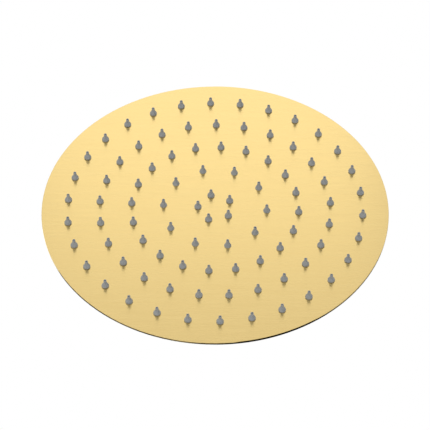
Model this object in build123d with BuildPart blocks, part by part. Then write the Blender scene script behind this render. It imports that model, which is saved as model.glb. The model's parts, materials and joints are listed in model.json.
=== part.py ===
from build123d import *
import os
from math import sqrt

# Slim round rain shower head, in millimetres: a flat disc of two thin sheets with push-in
# silicone nozzles, hung on a swivelling ball connector. +Z is up and the spray face looks down.
# The origin is on the inlet axis, on the seat where the end of the supply pipe meets the gasket.

# Spray disc
HEAD_DIAMETER = 250.0
FACE_SHEET = 0.6
CHAMBER_GAP = 0.9
BACK_SHEET = 0.5
RIM_WALL = 0.8
RIM_EDGE_RADIUS = 0.35
RIM_BACK_RADIUS = 0.3
SEAM_GAP = 0.05

# Raised centre of the back and the spot-weld dimples that tie the sheets together
DOME_RADIUS = 50.0
DOME_RISE = 6.0
BOSS_MARGIN = 2.0
DIMPLE_FOOT_RADIUS = 2.0
DIMPLE_FLARE = 1.6
DIMPLE_BEND_RADIUS = 1.5
OUTER_DIMPLE_COUNT = 10
INNER_DIMPLE_COUNT = 5

# Nozzle rings, from the centre outwards, all starting on one ray
RING_COUNTS = (5, 10, 20, 25, 30)
FIRST_RING_RADIUS = 12.4
SECOND_RING_RADIUS = 37.3
LAST_RING_INSET = 18.7
RING_START_ANGLE = 76.3

# One silicone nozzle
NOZZLE_BASE_DIAMETER = 5.2
NOZZLE_SKIRT_HEIGHT = 0.9
SECOND_RING_SKIRT_HEIGHT = 0.1
NOZZLE_SHOULDER_HEIGHT = 3.6
NOZZLE_TIP_DIAMETER = 2.2
NOZZLE_HEIGHT = 5.8
NOZZLE_ORIFICE_DIAMETER = 1.0
NOZZLE_INLET_DIAMETER = 3.0
NOZZLE_LIP = 0.35
NOZZLE_NECK_GAP = 0.03
NOZZLE_HEAD_DIAMETER = 6.6
NOZZLE_HEAD_HEIGHT = 0.6

# Inlet of the connector: a G 1/2 female thread, gasket, strainer and restrictor
THREAD_DIAMETER = 21.0
THREAD_DEPTH = 10.5
THREAD_LEAD_IN = 0.8
HEX_ACROSS_FLATS = 27.0
HEX_CORNER_TRIM = 1.2
HEX_CHAMFER_RISE = 0.8
HEX_FLOOR = 2.0
GASKET_THICKNESS = 2.5
GASKET_BORE_DIAMETER = 11.0
GASKET_GROOVE = 0.4
GASKET_GAP = 0.2
SCREEN_DIAMETER = 15.8
SCREEN_THICKNESS = 0.5
SCREEN_MESH = 0.9
SCREEN_MESH_PITCH = 1.5
RESTRICTOR_DIAMETER = 14.8
RESTRICTOR_THICKNESS = 3.0
RESTRICTOR_WEB = 1.2
RESTRICTOR_RIM = 1.6
RESTRICTOR_HOLE_DIAMETER = 1.6
RESTRICTOR_HOLE_COUNT = 6
FIT_GAP = 0.1

# Ball joint, with heights measured from the ball's centre
BALL_DIAMETER = 24.0
BALL_FOOT_HEIGHT = 10.0
NECK_DIAMETER = 15.0
NECK_LENGTH = 15.0
SHOULDER_HEIGHT = 4.5
SHOULDER_DIAMETER = 24.0
WATERWAY_DIAMETER = 10.0
SWIVEL_GAP = 0.1
RING_FOOT_HEIGHT = 1.0
RING_HEIGHT = 5.2
RING_LEDGE = 1.6
RING_SLOT = 2.0
SEAL_HEIGHT = 5.5
SEAL_BORE_DIAMETER = 16.0

# Socket and collar that hold the ball
SOCKET_CLEARANCE = 0.4
SOCKET_WALL = 3.6
SOCKET_DEPTH = 10.5
SOCKET_FLOOR = 2.0
SOCKET_OUTLET_DIAMETER = 14.0
SOCKET_FLANGE_DIAMETER = 40.0
SOCKET_FLANGE_HEIGHT = 1.8
SOCKET_FLANGE_ROUND = 0.6
SPIGOT_DIAMETER = 19.0
SPIGOT_REACH = 1.0
COLLAR_WALL = 3.0
COLLAR_LIP = 2.0
COLLAR_PASS_GAP = 0.3
COLLAR_FOOT_GAP = 1.2
COLLAR_TOP_ROUND = 2.0
COLLAR_FOOT_ROUND = 0.5
COLLAR_MOUTH_CHAMFER = 0.6
FLUTE_COUNT = 24
FLUTE_RADIUS = 1.3
FLUTE_DEPTH = 0.5
FLUTE_END_INSET = 3.2

# Levels along the inlet axis
hex_top = THREAD_DEPTH + THREAD_LEAD_IN
gasket_seat = -GASKET_THICKNESS
hex_bottom = gasket_seat - HEX_FLOOR
restrictor_seat = gasket_seat - RESTRICTOR_THICKNESS
ball_z = hex_bottom - NECK_LENGTH
socket_floor_top = ball_z - SOCKET_DEPTH
boss_z = socket_floor_top - SOCKET_FLOOR
back_z = boss_z - DOME_RISE
edge_thickness = FACE_SHEET + CHAMBER_GAP + BACK_SHEET
face_z = back_z - edge_thickness
chamber_floor = face_z + FACE_SHEET
nozzle_tip_z = face_z - NOZZLE_HEIGHT

# Radii that several pieces share
head_radius = HEAD_DIAMETER / 2
seam_radius = head_radius - RIM_WALL
thread_radius = THREAD_DIAMETER / 2
groove_radius = thread_radius + GASKET_GROOVE
waterway_radius = WATERWAY_DIAMETER / 2
ball_radius = BALL_DIAMETER / 2
seat_radius = ball_radius + SWIVEL_GAP
socket_bore = ball_radius + SOCKET_CLEARANCE
socket_radius = socket_bore + SOCKET_WALL
ring_radius = socket_bore + RING_LEDGE
collar_radius = socket_radius + FIT_GAP + COLLAR_WALL
spigot_radius = SPIGOT_DIAMETER / 2
flange_radius = SOCKET_FLANGE_DIAMETER / 2
nozzle_hole_radius = NOZZLE_BASE_DIAMETER / 2 - NOZZLE_LIP

# Nozzle rings after the first stand evenly between the second ring and the last
last_ring_radius = head_radius - LAST_RING_INSET
ring_pitch = (last_ring_radius - SECOND_RING_RADIUS) / (len(RING_COUNTS) - 2)
outer_radii = [SECOND_RING_RADIUS + ring_pitch * step for step in range(len(RING_COUNTS) - 1)]
ring_radii = [FIRST_RING_RADIUS] + outer_radii


def sphere_width(radius, height):
    """Radius of a sphere's section at a height above its centre."""
    return sqrt(radius**2 - height**2)


os.makedirs("parts", exist_ok=True)

# Face plate: a sheet pan with a thin upturned rim and a hole for each nozzle
with BuildPart() as face_plate:
    with BuildSketch(Plane.XY.offset(face_z)):
        Circle(head_radius)
    extrude(amount=edge_thickness)
    fillet(face_plate.edges().group_by(Axis.Z)[0], RIM_EDGE_RADIUS)
    fillet(face_plate.edges().group_by(Axis.Z)[-1], RIM_BACK_RADIUS)
    with BuildSketch(Plane.XY.offset(chamber_floor)):
        Circle(seam_radius)
    extrude(amount=edge_thickness - FACE_SHEET, mode=Mode.SUBTRACT)
    with BuildSketch(Plane.XY.offset(face_z)):
        for count, radius in zip(RING_COUNTS, ring_radii):
            with PolarLocations(radius, count, RING_START_ANGLE):
                Circle(nozzle_hole_radius)
    extrude(amount=FACE_SHEET, mode=Mode.SUBTRACT)
face_plate.part.label = "face_plate"
export_step(face_plate.part, "parts/face_plate.step")

# Back plate: a flat sheet inside the rim, drawn up in the middle to the boss of the socket.
# Each dimple is pressed in until its foot stands on the face plate, between two nozzle rings.
boss_radius = flange_radius + BOSS_MARGIN
dome_middle = ((boss_radius + DOME_RADIUS) / 2, (boss_z + back_z) / 2)
dimple_rings = (
    (OUTER_DIMPLE_COUNT, last_ring_radius - ring_pitch / 2),
    (INNER_DIMPLE_COUNT, last_ring_radius - ring_pitch * 3 / 2),
)
with BuildPart() as back_plate:
    with BuildSketch(Plane.XZ):
        with BuildLine():
            boss = Line((spigot_radius + FIT_GAP, boss_z), (boss_radius, boss_z))
            crown = TangentArc(boss @ 1, dome_middle, tangent=(1, 0))
            foot = TangentArc(crown @ 1, (DOME_RADIUS, back_z), tangent=crown % 1)
            Line(foot @ 1, (seam_radius - SEAM_GAP, back_z))
            offset(amount=BACK_SHEET, side=Side.RIGHT)
        make_face()
    revolve(axis=Axis.Z)
    for count, radius in dimple_rings:
        for rise, mode in ((0, Mode.ADD), (BACK_SHEET, Mode.SUBTRACT)):
            with Locations((0, 0, chamber_floor + rise)):
                with PolarLocations(radius, count, RING_START_ANGLE + 180 / count):
                    Cone(
                        DIMPLE_FOOT_RADIUS,
                        DIMPLE_FOOT_RADIUS + DIMPLE_FLARE,
                        CHAMBER_GAP,
                        align=(Align.CENTER, Align.CENTER, Align.MIN),
                        mode=mode,
                    )
    circles = back_plate.edges().filter_by(GeomType.CIRCLE).group_by(SortBy.RADIUS)
    feet = circles[0].group_by(Axis.Z)[-1]
    mouths = circles[1].group_by(Axis.Z)[-1]
    fillet(feet + mouths, DIMPLE_BEND_RADIUS)
back_plate.part.label = "back_plate"
export_step(back_plate.part, "parts/back_plate.step")

# Nozzle rings: silicone grommets with slender tips, whose grooves grip the edges of their holes.
# Their bores narrow from the chamber to the tip. The second ring's nozzles taper from the face on.
skirt_heights = [NOZZLE_SKIRT_HEIGHT] * len(RING_COUNTS)
skirt_heights[1] = SECOND_RING_SKIRT_HEIGHT
rings = zip(RING_COUNTS, ring_radii, skirt_heights)
for number, (count, radius, skirt_height) in enumerate(rings, start=1):
    with BuildPart() as nozzle:
        with BuildSketch(Plane.XZ):
            with BuildLine():
                Polyline(
                    (NOZZLE_ORIFICE_DIAMETER / 2, nozzle_tip_z),
                    (NOZZLE_TIP_DIAMETER / 2, nozzle_tip_z),
                    (NOZZLE_TIP_DIAMETER / 2, face_z - NOZZLE_SHOULDER_HEIGHT),
                    (NOZZLE_BASE_DIAMETER / 2, face_z - skirt_height),
                    (NOZZLE_BASE_DIAMETER / 2, face_z),
                    (nozzle_hole_radius - NOZZLE_NECK_GAP, face_z),
                    (nozzle_hole_radius - NOZZLE_NECK_GAP, chamber_floor),
                    (NOZZLE_HEAD_DIAMETER / 2, chamber_floor),
                    (NOZZLE_INLET_DIAMETER / 2, chamber_floor + NOZZLE_HEAD_HEIGHT),
                    (NOZZLE_ORIFICE_DIAMETER / 2, face_z - NOZZLE_SHOULDER_HEIGHT),
                    close=True,
                )
            make_face()
        revolve(axis=Axis.Z)
    with BuildPart() as nozzle_ring:
        with PolarLocations(radius, count, RING_START_ANGLE):
            add(nozzle.part)
    nozzle_ring.part.label = f"nozzle_ring_{number}"
    export_step(nozzle_ring.part, f"parts/nozzle_ring_{number}.step")

# Ball socket: a turned cup on a flange, with a spigot through the back plate's boss
ring_foot = ball_z + RING_FOOT_HEIGHT
spigot_end = boss_z - BACK_SHEET - SPIGOT_REACH
flange_top = boss_z + SOCKET_FLANGE_HEIGHT
with BuildPart() as ball_socket:
    with BuildSketch(Plane.XZ):
        with BuildLine():
            Polyline(
                (SOCKET_OUTLET_DIAMETER / 2, spigot_end),
                (spigot_radius, spigot_end),
                (spigot_radius, boss_z),
                (flange_radius, boss_z),
                (flange_radius, flange_top),
                (socket_radius, flange_top),
                (socket_radius, ring_foot),
                (socket_bore, ring_foot),
                (socket_bore, socket_floor_top),
                (SOCKET_OUTLET_DIAMETER / 2, socket_floor_top),
                close=True,
            )
        make_face()
    revolve(axis=Axis.Z)
    flange_edges = ball_socket.edges().filter_by(GeomType.CIRCLE).group_by(SortBy.RADIUS)[-1]
    fillet(flange_edges.sort_by(Axis.Z)[-1], SOCKET_FLANGE_ROUND)
ball_socket.part.label = "ball_socket"
export_step(ball_socket.part, "parts/ball_socket.step")

# Ball seal: a rubber ring on the socket's floor, with a spherical seat for the ball
seal_top = socket_floor_top + SEAL_HEIGHT
seal_bore = SEAL_BORE_DIAMETER / 2
seat_top = (sphere_width(seat_radius, seal_top - ball_z), seal_top)
seat_foot = (seal_bore, ball_z - sphere_width(seat_radius, seal_bore))
with BuildPart() as ball_seal:
    with BuildSketch(Plane.XZ):
        with BuildLine():
            Polyline(
                seat_foot,
                (seal_bore, socket_floor_top),
                (socket_bore - FIT_GAP, socket_floor_top),
                (socket_bore - FIT_GAP, seal_top),
                seat_top,
            )
            RadiusArc(seat_top, seat_foot, seat_radius)
        make_face()
    revolve(axis=Axis.Z)
ball_seal.part.label = "ball_seal"
export_step(ball_seal.part, "parts/ball_seal.step")

# Friction ring: a plastic ring over the ball, split so that it can be sprung round the neck
ring_top = ring_foot + RING_HEIGHT
grip_top = (sphere_width(seat_radius, ring_top - ball_z), ring_top)
grip_foot = (sphere_width(seat_radius, RING_FOOT_HEIGHT), ring_foot)
with BuildPart() as friction_ring:
    with BuildSketch(Plane.XZ):
        with BuildLine():
            Polyline(grip_foot, (ring_radius, ring_foot), (ring_radius, ring_top), grip_top)
            RadiusArc(grip_top, grip_foot, seat_radius)
        make_face()
    revolve(axis=Axis.Z)
    with BuildSketch(Plane.XY.offset(ring_foot)):
        Rectangle(ring_radius * 2, RING_SLOT, align=(Align.MIN, Align.CENTER))
    extrude(amount=RING_HEIGHT, mode=Mode.SUBTRACT)
friction_ring.part.label = "friction_ring"
export_step(friction_ring.part, "parts/friction_ring.step")

# Retaining collar: a fluted ring nut on the socket, whose lip holds the friction ring down.
# Its opening lets the ball through, because the friction ring is fitted after it.
collar_top = ring_top + COLLAR_LIP
collar_foot = flange_top + COLLAR_FOOT_GAP
collar_opening = ball_radius + COLLAR_PASS_GAP
flute_length = collar_top - collar_foot - 2 * FLUTE_END_INSET
with BuildPart() as retaining_collar:
    with BuildSketch(Plane.XZ):
        with BuildLine():
            Polyline(
                (socket_radius + FIT_GAP, collar_foot),
                (collar_radius, collar_foot),
                (collar_radius, collar_top),
                (collar_opening + COLLAR_MOUTH_CHAMFER, collar_top),
                (collar_opening, collar_top - COLLAR_MOUTH_CHAMFER),
                (collar_opening, ring_top),
                (ring_radius + FIT_GAP, ring_top),
                (ring_radius + FIT_GAP, ring_foot + FIT_GAP),
                (socket_radius + FIT_GAP, ring_foot + FIT_GAP),
                close=True,
            )
        make_face()
    revolve(axis=Axis.Z)
    outer_edges = retaining_collar.edges().filter_by(GeomType.CIRCLE).group_by(SortBy.RADIUS)[-1]
    fillet(outer_edges.sort_by(Axis.Z)[-1], COLLAR_TOP_ROUND)
    fillet(outer_edges.sort_by(Axis.Z)[0], COLLAR_FOOT_ROUND)
    with BuildSketch(Plane.XY.offset(collar_foot + FLUTE_END_INSET)):
        with PolarLocations(collar_radius + FLUTE_RADIUS - FLUTE_DEPTH, FLUTE_COUNT):
            Circle(FLUTE_RADIUS)
    extrude(amount=flute_length, mode=Mode.SUBTRACT)
retaining_collar.part.label = "retaining_collar"
export_step(retaining_collar.part, "parts/retaining_collar.step")

# Ball stem: hexagon with the inlet bore, shoulder, neck and ball, turned in one piece
hex_corner = HEX_ACROSS_FLATS / sqrt(3)
hex_face_radius = hex_corner - HEX_CORNER_TRIM
neck_radius = NECK_DIAMETER / 2
ball_foot = (sphere_width(ball_radius, BALL_FOOT_HEIGHT), ball_z - BALL_FOOT_HEIGHT)
ball_neck = (neck_radius, ball_z + sphere_width(ball_radius, neck_radius))
flare_foot = (neck_radius, hex_bottom - SHOULDER_HEIGHT)
with BuildPart() as ball_stem:
    with BuildSketch(Plane.XY.offset(hex_bottom)):
        RegularPolygon(HEX_ACROSS_FLATS / 2, 6, major_radius=False)
    extrude(amount=hex_top - hex_bottom)
    with BuildSketch(Plane.XZ):
        with BuildLine():
            Polyline(
                (0, hex_bottom),
                (hex_face_radius, hex_bottom),
                (hex_corner, hex_bottom + HEX_CHAMFER_RISE),
                (hex_corner, hex_top - HEX_CHAMFER_RISE),
                (hex_face_radius, hex_top),
                (0, hex_top),
                close=True,
            )
        make_face()
    revolve(axis=Axis.Z, mode=Mode.INTERSECT)
    with BuildSketch(Plane.XZ):
        with BuildLine():
            Line(ball_neck, flare_foot)
            flare = TangentArc(flare_foot, (SHOULDER_DIAMETER / 2, hex_bottom), tangent=(0, 1))
            Polyline(flare @ 1, (0, hex_bottom), (0, ball_foot[1]), ball_foot)
            ThreePointArc(ball_foot, (ball_radius, ball_z), ball_neck)
        make_face()
    revolve(axis=Axis.Z)
    with BuildSketch(Plane.XZ):
        with BuildLine():
            Polyline(
                (0, hex_top),
                (thread_radius + THREAD_LEAD_IN, hex_top),
                (thread_radius, THREAD_DEPTH),
                (thread_radius, 0),
                (groove_radius, 0),
                (groove_radius, gasket_seat),
                (RESTRICTOR_DIAMETER / 2 + FIT_GAP, gasket_seat),
                (RESTRICTOR_DIAMETER / 2 + FIT_GAP, restrictor_seat),
                (waterway_radius, restrictor_seat),
                (waterway_radius, ball_foot[1]),
                (0, ball_foot[1]),
                close=True,
            )
        make_face()
    revolve(axis=Axis.Z, mode=Mode.SUBTRACT)
ball_stem.part.label = "ball_stem"
export_step(ball_stem.part, "parts/ball_stem.step")

# Inlet gasket: a rubber washer in the groove under the thread, recessed for the strainer
gasket_bore = GASKET_BORE_DIAMETER / 2
screen_pocket = SCREEN_DIAMETER / 2 + FIT_GAP
with BuildPart() as inlet_gasket:
    with BuildSketch(Plane.XZ):
        with BuildLine():
            Polyline(
                (gasket_bore, gasket_seat),
                (groove_radius - GASKET_GAP, gasket_seat),
                (groove_radius - GASKET_GAP, 0),
                (screen_pocket, 0),
                (screen_pocket, -SCREEN_THICKNESS),
                (gasket_bore, -SCREEN_THICKNESS),
                close=True,
            )
        make_face()
    revolve(axis=Axis.Z)
inlet_gasket.part.label = "inlet_gasket"
export_step(inlet_gasket.part, "parts/inlet_gasket.step")

# Filter screen: a thin strainer disc with a square mesh over the gasket's bore
mesh_columns = int(GASKET_BORE_DIAMETER / SCREEN_MESH_PITCH)
mesh_reach = gasket_bore - SCREEN_MESH
with BuildPart() as filter_screen:
    with BuildSketch(Plane.XY.offset(-SCREEN_THICKNESS)):
        Circle(SCREEN_DIAMETER / 2)
    extrude(amount=SCREEN_THICKNESS)
    with BuildSketch(Plane.XY.offset(-SCREEN_THICKNESS)):
        with GridLocations(SCREEN_MESH_PITCH, SCREEN_MESH_PITCH, mesh_columns, mesh_columns) as grid:
            places = [spot for spot in grid.local_locations if spot.position.length < mesh_reach]
        with Locations(*places):
            Rectangle(SCREEN_MESH, SCREEN_MESH)
    extrude(amount=SCREEN_THICKNESS, mode=Mode.SUBTRACT)
filter_screen.part.label = "filter_screen"
export_step(filter_screen.part, "parts/filter_screen.step")

# Flow restrictor: a rimmed disc with a ring of metering holes, in its pocket under the gasket
restrictor_hollow = RESTRICTOR_DIAMETER / 2 - RESTRICTOR_RIM
with BuildPart() as flow_restrictor:
    with BuildSketch(Plane.XY.offset(restrictor_seat)):
        Circle(RESTRICTOR_DIAMETER / 2)
    extrude(amount=RESTRICTOR_THICKNESS)
    with BuildSketch(Plane.XY.offset(restrictor_seat + RESTRICTOR_WEB)):
        Circle(restrictor_hollow)
    extrude(amount=RESTRICTOR_THICKNESS - RESTRICTOR_WEB, mode=Mode.SUBTRACT)
    with BuildSketch(Plane.XY.offset(restrictor_seat)):
        with PolarLocations(waterway_radius - RESTRICTOR_HOLE_DIAMETER, RESTRICTOR_HOLE_COUNT):
            Circle(RESTRICTOR_HOLE_DIAMETER / 2)
    extrude(amount=RESTRICTOR_WEB, mode=Mode.SUBTRACT)
flow_restrictor.part.label = "flow_restrictor"
export_step(flow_restrictor.part, "parts/flow_restrictor.step")
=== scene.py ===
import json
from math import ceil, cos, inf, pi, radians, sin, tau

import bmesh
import bpy
from mathutils import Matrix, Vector


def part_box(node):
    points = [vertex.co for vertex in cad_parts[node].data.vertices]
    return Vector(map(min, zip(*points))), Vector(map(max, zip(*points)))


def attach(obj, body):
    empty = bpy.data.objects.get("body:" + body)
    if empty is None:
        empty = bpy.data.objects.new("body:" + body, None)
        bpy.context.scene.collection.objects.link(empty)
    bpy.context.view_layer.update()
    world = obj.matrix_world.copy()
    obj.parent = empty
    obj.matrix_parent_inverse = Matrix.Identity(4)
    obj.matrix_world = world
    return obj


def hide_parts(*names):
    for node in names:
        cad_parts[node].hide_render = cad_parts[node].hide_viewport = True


# Looks of a slim round rain shower head: finishes, rounded edges, the inlet thread, studio and camera.
# Lengths are metres in the frame of the solids: +Z up, spray face down, origin on the inlet's seat.
# Azimuth 0 is the side that the camera stands on, -Y, and positive azimuth is towards +X.

# Camera: it looks up at the spray face, with the side nearest to it at the bottom of the picture
VIEW_AZIMUTH = radians(0.07)
VIEW_ELEVATION = radians(-47.58)
VIEW_DISTANCE = 1.594
VIEW_AIM = Vector((0.000115, -0.00693, 0.0))
VIEW_ROLL = radians(-0.09)
LENS_MM = 185.2
SENSOR_MM = 36.0
CLIP_NEAR = 0.01
CLIP_FAR = 200.0

# Floor: pale below the head, and white from further out
FLOOR_Z = -1.6
FLOOR_SIZE = 60.0
FLOOR_TONE = (0.73, 0.725, 0.715, 1.0)
FLOOR_ROUGHNESS = 0.9
FLOOR_PALE_RADIUS = 2.5
FLOOR_WHITE_RADIUS = 7.0

# Surroundings: white, and a little dimmer as light on matte surfaces
WHITE = (1.0, 1.0, 1.0, 1.0)
AMBIENT = 0.95

# Dark cards that only reflections show. Each has its azimuth and elevation, the half angles up to which
# it is fully dark and at which it ends, all in degrees, and its darkness.
DARK_CARDS = (
    (0.0, 52.0, 25.0, 50.0, 0.75),
    (90.0, 50.0, 25.0, 50.0, 0.8),
    (112.0, 47.0, 16.0, 34.0, 0.88),
    (-90.0, 50.0, 25.0, 50.0, 0.86),
    (-34.0, 47.0, 26.0, 38.0, 0.98),
)

# The cards fade out towards the horizon between these elevations
CARDS_FADE_START = radians(20)
CARDS_FADE_END = radians(36)

# Black panel whose reflection darkens the edge of the disc, right of the camera
FLAG_AZIMUTH = radians(-34)
FLAG_DISTANCE = 1.0
FLAG_WIDTH = 0.8
FLAG_TOP = 0.5
FLAG_TONE = (0.01, 0.01, 0.01, 1.0)

# Soft lamps: each looks from its place at a target
SOFTBOXES = {
    "far_softbox": {
        "place": (0.012, 0.86, -0.56),
        "target": (0.0, 0.05, -0.04),
        "size": (0.45, 0.72),
        "radiance": 0.55,
    },
    "front_softbox": {
        "place": (0.5, -0.75, -0.95),
        "target": (0.0, 0.0, -0.04),
        "size": (0.9, 0.9),
        "radiance": 1.4,
        "mirrored": False,
    },
    "top_softbox": {
        "place": (0.3, 0.7, 1.3),
        "target": (0.0, 0.0, 0.0),
        "size": (1.2, 1.2),
        "radiance": 1.0,
    },
}

# A random pattern lies mostly between these values
NOISE_LOW = 0.3
NOISE_HIGH = 0.7

# Straight brushing of the sheets along X: long fine scratches, and a share of broader faint bands
BRUSH_LENGTH = 0.025
BRUSH_PITCH = 0.00035
BAND_LENGTH = 0.035
BAND_PITCH = 0.0022
BAND_SHARE = 0.3
BRUSH_ROUGHNESS = (0.20, 0.29)

# The disc's thin edge is polished, from its rounded corner on
RIM_EDGE = 0.0004
EDGE_ROUGHNESS = (0.096, 0.144)

# Turning marks round the inlet axis on the connector's pieces, and a share of larger clouds
TURN_PITCH = 0.0003
CLOUD_SIZE = 0.012
CLOUD_SHARE = 0.4

# Depth of the brushing and of the turning marks
MARK_DEPTH = 0.000004

# Rolling marks of the strainer, along X
ROLL_LENGTH = 0.004
ROLL_PITCH = 0.0003

# Inlet thread: the ridge of a G 1/2 thread inside the bore. Its widths are shares of the pitch. The depths
# of its shoulder, where the crest's rounding starts, and of its two ends are shares of the full depth.
THREAD_PITCH = 0.001814
THREAD_CREST_RADIUS = 0.0093155
THREAD_ROOT_OVERLAP = 0.00003
THREAD_ROOT_WIDTH = 0.96
THREAD_SHOULDER_WIDTH = 0.308
THREAD_CREST_WIDTH = 0.154
THREAD_SHOULDER_DEPTH = 0.85
THREAD_START = 0.001
THREAD_END_GAP = 0.0007
THREAD_STEPS_PER_TURN = 96
THREAD_FADE_TURNS = 0.4
THREAD_END_DEPTH = 0.02
THREAD_SMOOTH_ANGLE = radians(35)

# Rounded edges: how far an edge is cut back, in how many steps, and which edges count as sharp
NOZZLE_ROUND = 0.00025
NOZZLE_FOOT = 0.0002
TURNED_ROUND = 0.00018
ROUND_STEPS = 3
ROUND_PROFILE = 0.5
SHARP_ANGLE = radians(18)
SMOOTH_ANGLE = radians(36)

# Cleaning of the solids' meshes before and after the rounding
MERGE_GAP = 0.000001
FLAT_ANGLE = radians(1)
QUAD_CORNERS = 4

# The record gives its lengths in millimetres
MM_PER_METRE = 1000

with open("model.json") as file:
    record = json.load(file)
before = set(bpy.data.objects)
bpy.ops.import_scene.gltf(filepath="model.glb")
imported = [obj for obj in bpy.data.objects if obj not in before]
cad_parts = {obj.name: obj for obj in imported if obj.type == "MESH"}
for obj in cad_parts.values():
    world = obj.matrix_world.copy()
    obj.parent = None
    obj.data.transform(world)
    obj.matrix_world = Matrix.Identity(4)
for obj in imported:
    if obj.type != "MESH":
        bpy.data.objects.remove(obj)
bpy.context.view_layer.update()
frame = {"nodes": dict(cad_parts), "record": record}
nodes = frame["nodes"]
record = frame["record"]
scene = bpy.context.scene
scene.view_settings.view_transform = "Standard"

slots = {subpart["node"]: subpart["material_slot"] for subpart in record["subparts"]}
bodies = {node: body for body, members in record["behaviour"]["bodies"].items() for node in members}
inlet = record["mounts"][0]["dims"]
bore_radius = inlet["r_mm"] / MM_PER_METRE
bore_length = inlet["length_mm"] / MM_PER_METRE
face_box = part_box("face_plate")
face_centre = Vector((0.0, 0.0, face_box[0].z))
head_radius = face_box[1].x


def direction(azimuth, elevation):
    """A step of one metre towards an azimuth and an elevation."""
    across = cos(elevation)
    return Vector((sin(azimuth) * across, -cos(azimuth) * across, sin(elevation)))


class Graph:
    """A node tree, with short calls that add its nodes. An input is a value or another node's output."""

    def __init__(self, tree):
        self.tree = tree

    def put(self, value, socket):
        """Sets a socket to a value, or links it to an output."""
        if isinstance(value, bpy.types.NodeSocket):
            self.tree.links.new(value, socket)
        else:
            socket.default_value = value

    def add(self, kind, inputs=(), **settings):
        """A node with its settings, and its inputs by the sockets' names or numbers."""
        node = self.tree.nodes.new(kind)
        for key, value in settings.items():
            setattr(node, key, value)
        for socket, value in dict(inputs).items():
            self.put(value, node.inputs[socket])
        return node

    def math(self, operation, first, second):
        return self.add("ShaderNodeMath", {0: first, 1: second}, operation=operation).outputs["Value"]

    def span(self, value, low, high, start=NOISE_LOW, end=NOISE_HIGH, **settings):
        """Takes a value between start and end to the span between low and high."""
        inputs = {"Value": value, "From Min": start, "From Max": end, "To Min": low, "To Max": high}
        return self.add("ShaderNodeMapRange", inputs, **settings).outputs["Result"]

    def average(self, first, second, share):
        """A value between two."""
        return self.add("ShaderNodeMix", {0: share, 2: first, 3: second}, data_type="FLOAT").outputs[0]

    def mix_shaders(self, factor, first, second):
        """A shader between two, whose nodes are given."""
        return self.add("ShaderNodeMixShader", {0: factor, 1: first.outputs[0], 2: second.outputs[0]})


class Shader(Graph):
    """The node tree of a material, with short calls for what the finishes are made of."""

    def __init__(self, name):
        self.material = bpy.data.materials.new(name)
        self.material.use_nodes = True
        super().__init__(self.material.node_tree)
        self.surface = self.tree.nodes["Principled BSDF"]

    def set(self, **values):
        """Sets or links sockets of the surface, named with underscores for spaces."""
        for key, value in values.items():
            self.put(value, self.surface.inputs[key.replace("_", " ")])

    def place(self):
        """The point on the piece, in metres."""
        return self.add("ShaderNodeTexCoord").outputs["Object"]

    def around(self, place):
        """The point as distance from the inlet axis and height, which is the same all the way round."""
        parts = self.add("ShaderNodeSeparateXYZ", {"Vector": place}).outputs
        flat = self.add("ShaderNodeCombineXYZ", {"X": parts["X"], "Y": parts["Y"]}).outputs["Vector"]
        reach = self.add("ShaderNodeVectorMath", {0: flat}, operation="LENGTH").outputs["Value"]
        return self.add("ShaderNodeCombineXYZ", {"X": reach, "Z": parts["Z"]}).outputs["Vector"]

    def noise(self, place, lengths, detail):
        """A soft random pattern, as long along each axis as the lengths say."""
        scale = [1 / length for length in lengths]
        stretched = self.add("ShaderNodeMapping", {"Vector": place, "Scale": scale}).outputs["Vector"]
        inputs = {"Vector": stretched, "Scale": 1.0, "Detail": detail, "Roughness": 0.5}
        return self.add("ShaderNodeTexNoise", inputs).outputs["Fac"]

    def blend(self, factor, dark, light):
        """A colour between two."""
        inputs = {0: factor, 6: (*dark, 1.0), 7: (*light, 1.0)}
        return self.add("ShaderNodeMix", inputs, data_type="RGBA").outputs[2]

    def bump(self, height, distance):
        inputs = {"Height": height, "Distance": distance, "Strength": 1.0}
        return self.add("ShaderNodeBump", inputs).outputs["Normal"]


def gold_sheet():
    """Gold coating over stainless sheet with fine straight brushing along X."""
    shader = Shader("gold_sheet")
    place = shader.place()
    scratches = shader.noise(place, (BRUSH_LENGTH, BRUSH_PITCH, BRUSH_PITCH), detail=4.0)
    bands = shader.noise(place, (BAND_LENGTH, BAND_PITCH, BAND_PITCH), detail=2.0)
    brushing = shader.average(scratches, bands, BAND_SHARE)
    tone = shader.span(brushing, 0.0, 1.0)
    reach = shader.add("ShaderNodeSeparateXYZ", {"Vector": shader.around(place)}).outputs["X"]
    edge = shader.span(reach, 0.0, 1.0, head_radius - RIM_EDGE, head_radius - RIM_EDGE / 2)
    satin = shader.span(scratches, *BRUSH_ROUGHNESS)
    polish = shader.span(bands, *EDGE_ROUGHNESS)
    along = shader.add("ShaderNodeCombineXYZ", {"X": 1.0}).outputs["Vector"]
    tangent = shader.add(
        "ShaderNodeVectorTransform",
        {"Vector": along},
        vector_type="VECTOR",
        convert_from="OBJECT",
        convert_to="WORLD",
    )
    shader.set(
        Base_Color=shader.blend(tone, dark=(0.862, 0.642, 0.266), light=(0.900, 0.688, 0.297)),
        Metallic=1.0,
        Roughness=shader.average(satin, polish, edge),
        Anisotropic=0.5,
        Anisotropic_Rotation=0.25,
        Tangent=tangent.outputs["Vector"],
        Normal=shader.bump(brushing, MARK_DEPTH),
    )
    return shader.material


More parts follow.
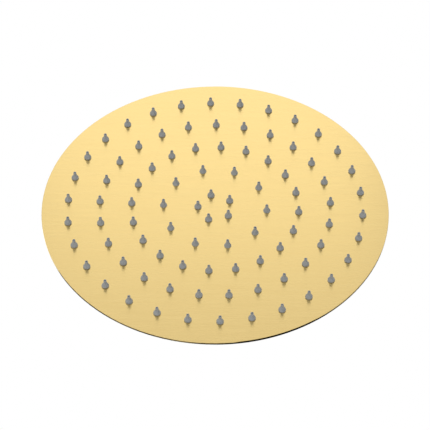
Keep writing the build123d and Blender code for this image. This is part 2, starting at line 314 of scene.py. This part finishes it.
def gold_turned(name, smooth, rough):
    """Gold coating over a turned surface, with fine rings round the inlet axis."""
    shader = Shader(name)
    place = shader.place()
    rings = shader.noise(shader.around(place), (TURN_PITCH,) * 3, detail=3.0)
    clouds = shader.noise(place, (CLOUD_SIZE,) * 3, detail=3.0)
    tone = shader.average(rings, clouds, CLOUD_SHARE)
    tangent = shader.add("ShaderNodeTangent", direction_type="RADIAL", axis="Z")
    shader.set(
        Base_Color=shader.blend(tone, dark=(0.86, 0.63, 0.25), light=(0.96, 0.74, 0.32)),
        Metallic=1.0,
        Roughness=shader.span(rings, smooth, rough),
        Anisotropic=0.4,
        Anisotropic_Rotation=0.25,
        Tangent=tangent.outputs["Tangent"],
        Normal=shader.bump(rings, MARK_DEPTH),
    )
    return shader.material


def moulded(name, dark, light, mottle, grain, roughness, relief, detail=3.0, **sockets):
    """Moulded rubber or plastic: a mottled colour, and a fine grain in its gloss and its relief."""
    shader = Shader(name)
    place = shader.place()
    mottling = shader.noise(place, (mottle,) * 3, detail)
    graining = shader.noise(place, (grain,) * 3, detail=2.0)
    shader.set(
        Base_Color=shader.blend(shader.span(mottling, 0.0, 1.0), dark, light),
        Roughness=shader.span(graining, *roughness),
        Normal=shader.bump(graining, relief),
        **sockets,
    )
    return shader.material


def silicone():
    """Soft grey silicone with a dry, faintly mottled surface."""
    return moulded(
        "silicone",
        dark=(0.254, 0.270, 0.281),
        light=(0.319, 0.338, 0.352),
        mottle=0.0015,
        grain=0.00015,
        roughness=(0.5, 0.65),
        relief=0.00001,
        Specular_IOR_Level=0.35,
        Sheen_Weight=0.25,
    )


def seal_rubber():
    """Black rubber with a dull grain."""
    return moulded(
        "seal_rubber",
        dark=(0.022, 0.022, 0.023),
        light=(0.045, 0.044, 0.043),
        mottle=0.003,
        grain=0.0002,
        roughness=(0.6, 0.8),
        relief=0.00002,
        detail=4.0,
    )


def white_acetal():
    """White moulded acetal, slightly waxy."""
    return moulded(
        "white_acetal",
        dark=(0.76, 0.75, 0.72),
        light=(0.84, 0.83, 0.80),
        mottle=0.004,
        grain=0.0003,
        roughness=(0.35, 0.5),
        relief=0.00001,
    )


def green_plastic():
    """Green moulded plastic."""
    return moulded(
        "green_plastic",
        dark=(0.09, 0.33, 0.16),
        light=(0.13, 0.42, 0.21),
        mottle=0.003,
        grain=0.0002,
        roughness=(0.35, 0.5),
        relief=0.00001,
    )


def strainer_steel():
    """Bare stainless strainer, dull from the rolling."""
    shader = Shader("strainer_steel")
    rolling = shader.noise(shader.place(), (ROLL_LENGTH, ROLL_PITCH, ROLL_PITCH), detail=3.0)
    tone = shader.span(rolling, 0.0, 1.0)
    shader.set(
        Base_Color=shader.blend(tone, dark=(0.52, 0.52, 0.51), light=(0.66, 0.66, 0.65)),
        Metallic=1.0,
        Roughness=shader.span(rolling, 0.28, 0.42),
    )
    return shader.material


def dress_nodes():
    """Gives each solid the finish of its material slot, and returns the finishes by slot."""
    finishes = {
        "gold_sheet": gold_sheet(),
        "gold_turned_steel": gold_turned("gold_turned_steel", smooth=0.2, rough=0.3),
        "gold_brass": gold_turned("gold_brass", smooth=0.14, rough=0.24),
        "silicone": silicone(),
        "seal_rubber": seal_rubber(),
        "white_acetal": white_acetal(),
        "strainer_steel": strainer_steel(),
        "green_plastic": green_plastic(),
    }
    for node, slot in slots.items():
        mesh = nodes[node].data
        mesh.materials.clear()
        mesh.materials.append(finishes[slot])
    return finishes


def add_piece(name, form, finish, smooth_angle):
    """Makes a piece from a form, shaded smooth except at edges that turn by more than an angle."""
    mesh = bpy.data.meshes.new(name)
    form.to_mesh(mesh)
    form.free()
    mesh.shade_smooth()
    mesh.set_sharp_from_angle(angle=smooth_angle)
    mesh.materials.append(finish)
    piece = bpy.data.objects.new(name, mesh)
    scene.collection.objects.link(piece)
    return piece


def soften(node, width, low=-inf, high=inf):
    """A copy of a solid that stands for it, with its sharp edges between two heights rounded."""
    form = bmesh.new()
    form.from_mesh(nodes[node].data)
    bmesh.ops.remove_doubles(form, verts=form.verts, dist=MERGE_GAP)
    bmesh.ops.dissolve_limit(form, angle_limit=FLAT_ANGLE, verts=form.verts, edges=form.edges)
    sharp = []
    for edge in form.edges:
        inside = all(low < spot.co.z < high for spot in edge.verts)
        if inside and edge.calc_face_angle(0.0) > SHARP_ANGLE:
            sharp.append(edge)
    bmesh.ops.bevel(
        form,
        geom=sharp,
        offset=width,
        segments=ROUND_STEPS,
        profile=ROUND_PROFILE,
        affect="EDGES",
        clamp_overlap=True,
    )
    wide_faces = [face for face in form.faces if len(face.verts) > QUAD_CORNERS]
    bmesh.ops.triangulate(form, faces=wide_faces)
    bmesh.ops.dissolve_degenerate(form, dist=MERGE_GAP, edges=form.edges)
    piece = add_piece(f"{node}_rounded", form, nodes[node].data.materials[0], SMOOTH_ANGLE)
    weighted = piece.modifiers.new("weighted_normals", "WEIGHTED_NORMAL")
    weighted.keep_sharp = True
    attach(piece, bodies[node])
    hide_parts(node)


def soften_edges():
    """Rounds the edges of the moulded nozzles, outside the face, and of the turned pieces."""
    for node, slot in slots.items():
        if slot == "silicone":
            soften(node, NOZZLE_ROUND, high=face_centre.z - NOZZLE_FOOT)
    for node in ("ball_socket", "retaining_collar", "ball_stem"):
        soften(node, TURNED_ROUND)


def thread_section():
    """Outline of the thread's ridge from below: shares of its depth, and rises from its middle."""
    lower = (
        (0.0, -THREAD_PITCH * THREAD_ROOT_WIDTH / 2),
        (THREAD_SHOULDER_DEPTH, -THREAD_PITCH * THREAD_SHOULDER_WIDTH / 2),
        (1.0, -THREAD_PITCH * THREAD_CREST_WIDTH / 2),
    )
    upper = tuple((share, -rise) for share, rise in reversed(lower))
    return lower + upper


def inlet_thread(finish):
    """Helical ridge of the inlet thread, which fades out at both ends."""
    root_radius = bore_radius + THREAD_ROOT_OVERLAP
    height = bore_length - THREAD_START - THREAD_END_GAP
    turns = height / THREAD_PITCH - 1
    steps = ceil(turns * THREAD_STEPS_PER_TURN)
    section = thread_section()
    ridge = bmesh.new()
    rings = []
    for step in range(steps + 1):
        turn = turns * step / steps
        fade = min(1.0, turn / THREAD_FADE_TURNS, (turns - turn) / THREAD_FADE_TURNS)
        depth = (root_radius - THREAD_CREST_RADIUS) * max(fade, THREAD_END_DEPTH)
        middle = THREAD_START + THREAD_PITCH * (turn + 0.5)
        ring = []
        for share, rise in section:
            radius = root_radius - depth * share
            spot = (radius * cos(tau * turn), radius * sin(tau * turn), middle + rise)
            ring.append(ridge.verts.new(spot))
        rings.append(ring)
    for first, second in zip(rings, rings[1:]):
        for index in range(len(section)):
            after = (index + 1) % len(section)
            ridge.faces.new((first[index], second[index], second[after], first[after]))
    ridge.faces.new(rings[0])
    ridge.faces.new(reversed(rings[-1]))
    bmesh.ops.recalc_face_normals(ridge, faces=ridge.faces)
    piece = add_piece("inlet_thread_ridge", ridge, finish, THREAD_SMOOTH_ANGLE)
    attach(piece, "connector")


def add_panel(name, corners, finish):
    """Makes a flat panel of the studio."""
    mesh = bpy.data.meshes.new(name)
    mesh.from_pydata(corners, [], [range(len(corners))])
    mesh.materials.append(finish)
    panel = bpy.data.objects.new(name, mesh)
    scene.collection.objects.link(panel)
    return panel


def floor():
    """Pale floor well below the head, which fades into the white surroundings."""
    shader = Shader("floor")
    shader.set(Base_Color=FLOOR_TONE, Roughness=FLOOR_ROUGHNESS, Specular_IOR_Level=0.0)
    reach = shader.add("ShaderNodeVectorMath", {0: shader.place()}, operation="LENGTH").outputs["Value"]
    far = shader.span(reach, 0.0, 1.0, FLOOR_PALE_RADIUS, FLOOR_WHITE_RADIUS)
    glow = shader.add("ShaderNodeEmission", {"Strength": 1.0})
    mixed = shader.mix_shaders(far, shader.surface, glow)
    shader.put(mixed.outputs[0], shader.tree.nodes["Material Output"].inputs["Surface"])
    half = FLOOR_SIZE / 2
    corners = [(-half, -half, 0.0), (half, -half, 0.0), (half, half, 0.0), (-half, half, 0.0)]
    panel = add_panel("floor", corners, shader.material)
    panel.location.z = FLOOR_Z


def dark_flag():
    """Black panel that stands on the floor, and shows only in polished metal."""
    shader = Shader("dark_flag")
    shader.set(Base_Color=FLAG_TONE, Roughness=1.0, Specular_IOR_Level=0.0)
    half = FLAG_WIDTH / 2
    corners = [(-half, 0.0, FLOOR_Z), (half, 0.0, FLOOR_Z), (half, 0.0, FLAG_TOP), (-half, 0.0, FLAG_TOP)]
    panel = add_panel("dark_flag", corners, shader.material)
    panel.location = direction(FLAG_AZIMUTH, 0.0) * FLAG_DISTANCE
    panel.rotation_euler.z = FLAG_AZIMUTH
    panel.visible_camera = False
    panel.visible_diffuse = False
    panel.visible_shadow = False


def reflected_brightness(graph):
    """Brightness of the surroundings in reflections, where the dark cards show."""
    smooth = {"interpolation_type": "SMOOTHSTEP"}
    view = graph.add("ShaderNodeTexCoord").outputs["Generated"]
    brightness = 1.0
    for azimuth, elevation, inner, outer, darkness in DARK_CARDS:
        pair = {0: view, 1: direction(radians(azimuth), radians(elevation))}
        facing = graph.add("ShaderNodeVectorMath", pair, operation="DOT_PRODUCT").outputs["Value"]
        shade = graph.span(facing, 1.0, 1.0 - darkness, cos(radians(outer)), cos(radians(inner)), **smooth)
        brightness = graph.math("MULTIPLY", shade, brightness)
    height = graph.add("ShaderNodeSeparateXYZ", {"Vector": view}).outputs["Z"]
    above = graph.span(height, 0.0, 1.0, sin(CARDS_FADE_START), sin(CARDS_FADE_END), **smooth)
    return graph.average(1.0, brightness, above)


def surroundings():
    """White surroundings, which are plain to the camera and have dark cards in reflections."""
    world = bpy.data.worlds.new("studio")
    scene.world = world
    world.use_nodes = True
    world.cycles.sampling_method = "NONE"
    graph = Graph(world.node_tree)
    graph.tree.nodes.clear()
    path = graph.add("ShaderNodeLightPath").outputs
    mirrored = graph.math("MAXIMUM", path["Is Glossy Ray"], path["Is Transmission Ray"])
    matte = graph.add("ShaderNodeBackground", {"Color": WHITE, "Strength": AMBIENT})
    reflected = graph.add("ShaderNodeBackground", {"Color": WHITE, "Strength": reflected_brightness(graph)})
    plain = graph.add("ShaderNodeBackground", {"Color": WHITE, "Strength": 1.0})
    unseen = graph.mix_shaders(mirrored, matte, reflected)
    final = graph.mix_shaders(path["Is Camera Ray"], unseen, plain)
    graph.add("ShaderNodeOutputWorld", {"Surface": final.outputs[0]})


def softbox(name, place, target, size, radiance, mirrored=True):
    """A soft rectangular lamp that looks from its place at a target, and may stay out of reflections."""
    width, height = size
    lamp = bpy.data.lights.new(name, "AREA")
    lamp.shape = "RECTANGLE"
    lamp.size = width
    lamp.size_y = height
    lamp.energy = radiance * pi * width * height
    holder = bpy.data.objects.new(name, lamp)
    holder.location = place
    holder.rotation_mode = "QUATERNION"
    holder.rotation_quaternion = (Vector(target) - Vector(place)).to_track_quat("-Z", "Y")
    holder.visible_camera = False
    holder.visible_glossy = mirrored
    scene.collection.objects.link(holder)


def camera():
    """Camera at the photograph's viewing angle."""
    place = face_centre + direction(VIEW_AZIMUTH, VIEW_ELEVATION) * VIEW_DISTANCE
    forward = (face_centre + VIEW_AIM - place).normalized()
    right = forward.cross(Vector((0.0, 0.0, -1.0))).normalized()
    up = right.cross(forward)
    turn = Matrix((right, up, -forward)).transposed() @ Matrix.Rotation(VIEW_ROLL, 3, "Z")
    lens = bpy.data.cameras.new("camera")
    lens.lens = LENS_MM
    lens.sensor_width = SENSOR_MM
    lens.clip_start = CLIP_NEAR
    lens.clip_end = CLIP_FAR
    holder = bpy.data.objects.new("camera", lens)
    holder.matrix_world = Matrix.Translation(place) @ turn.to_4x4()
    scene.collection.objects.link(holder)
    scene.camera = holder


finishes = dress_nodes()
soften_edges()
inlet_thread(finishes["gold_brass"])
floor()
surroundings()
dark_flag()
for name, settings in SOFTBOXES.items():
    softbox(name, **settings)
camera()
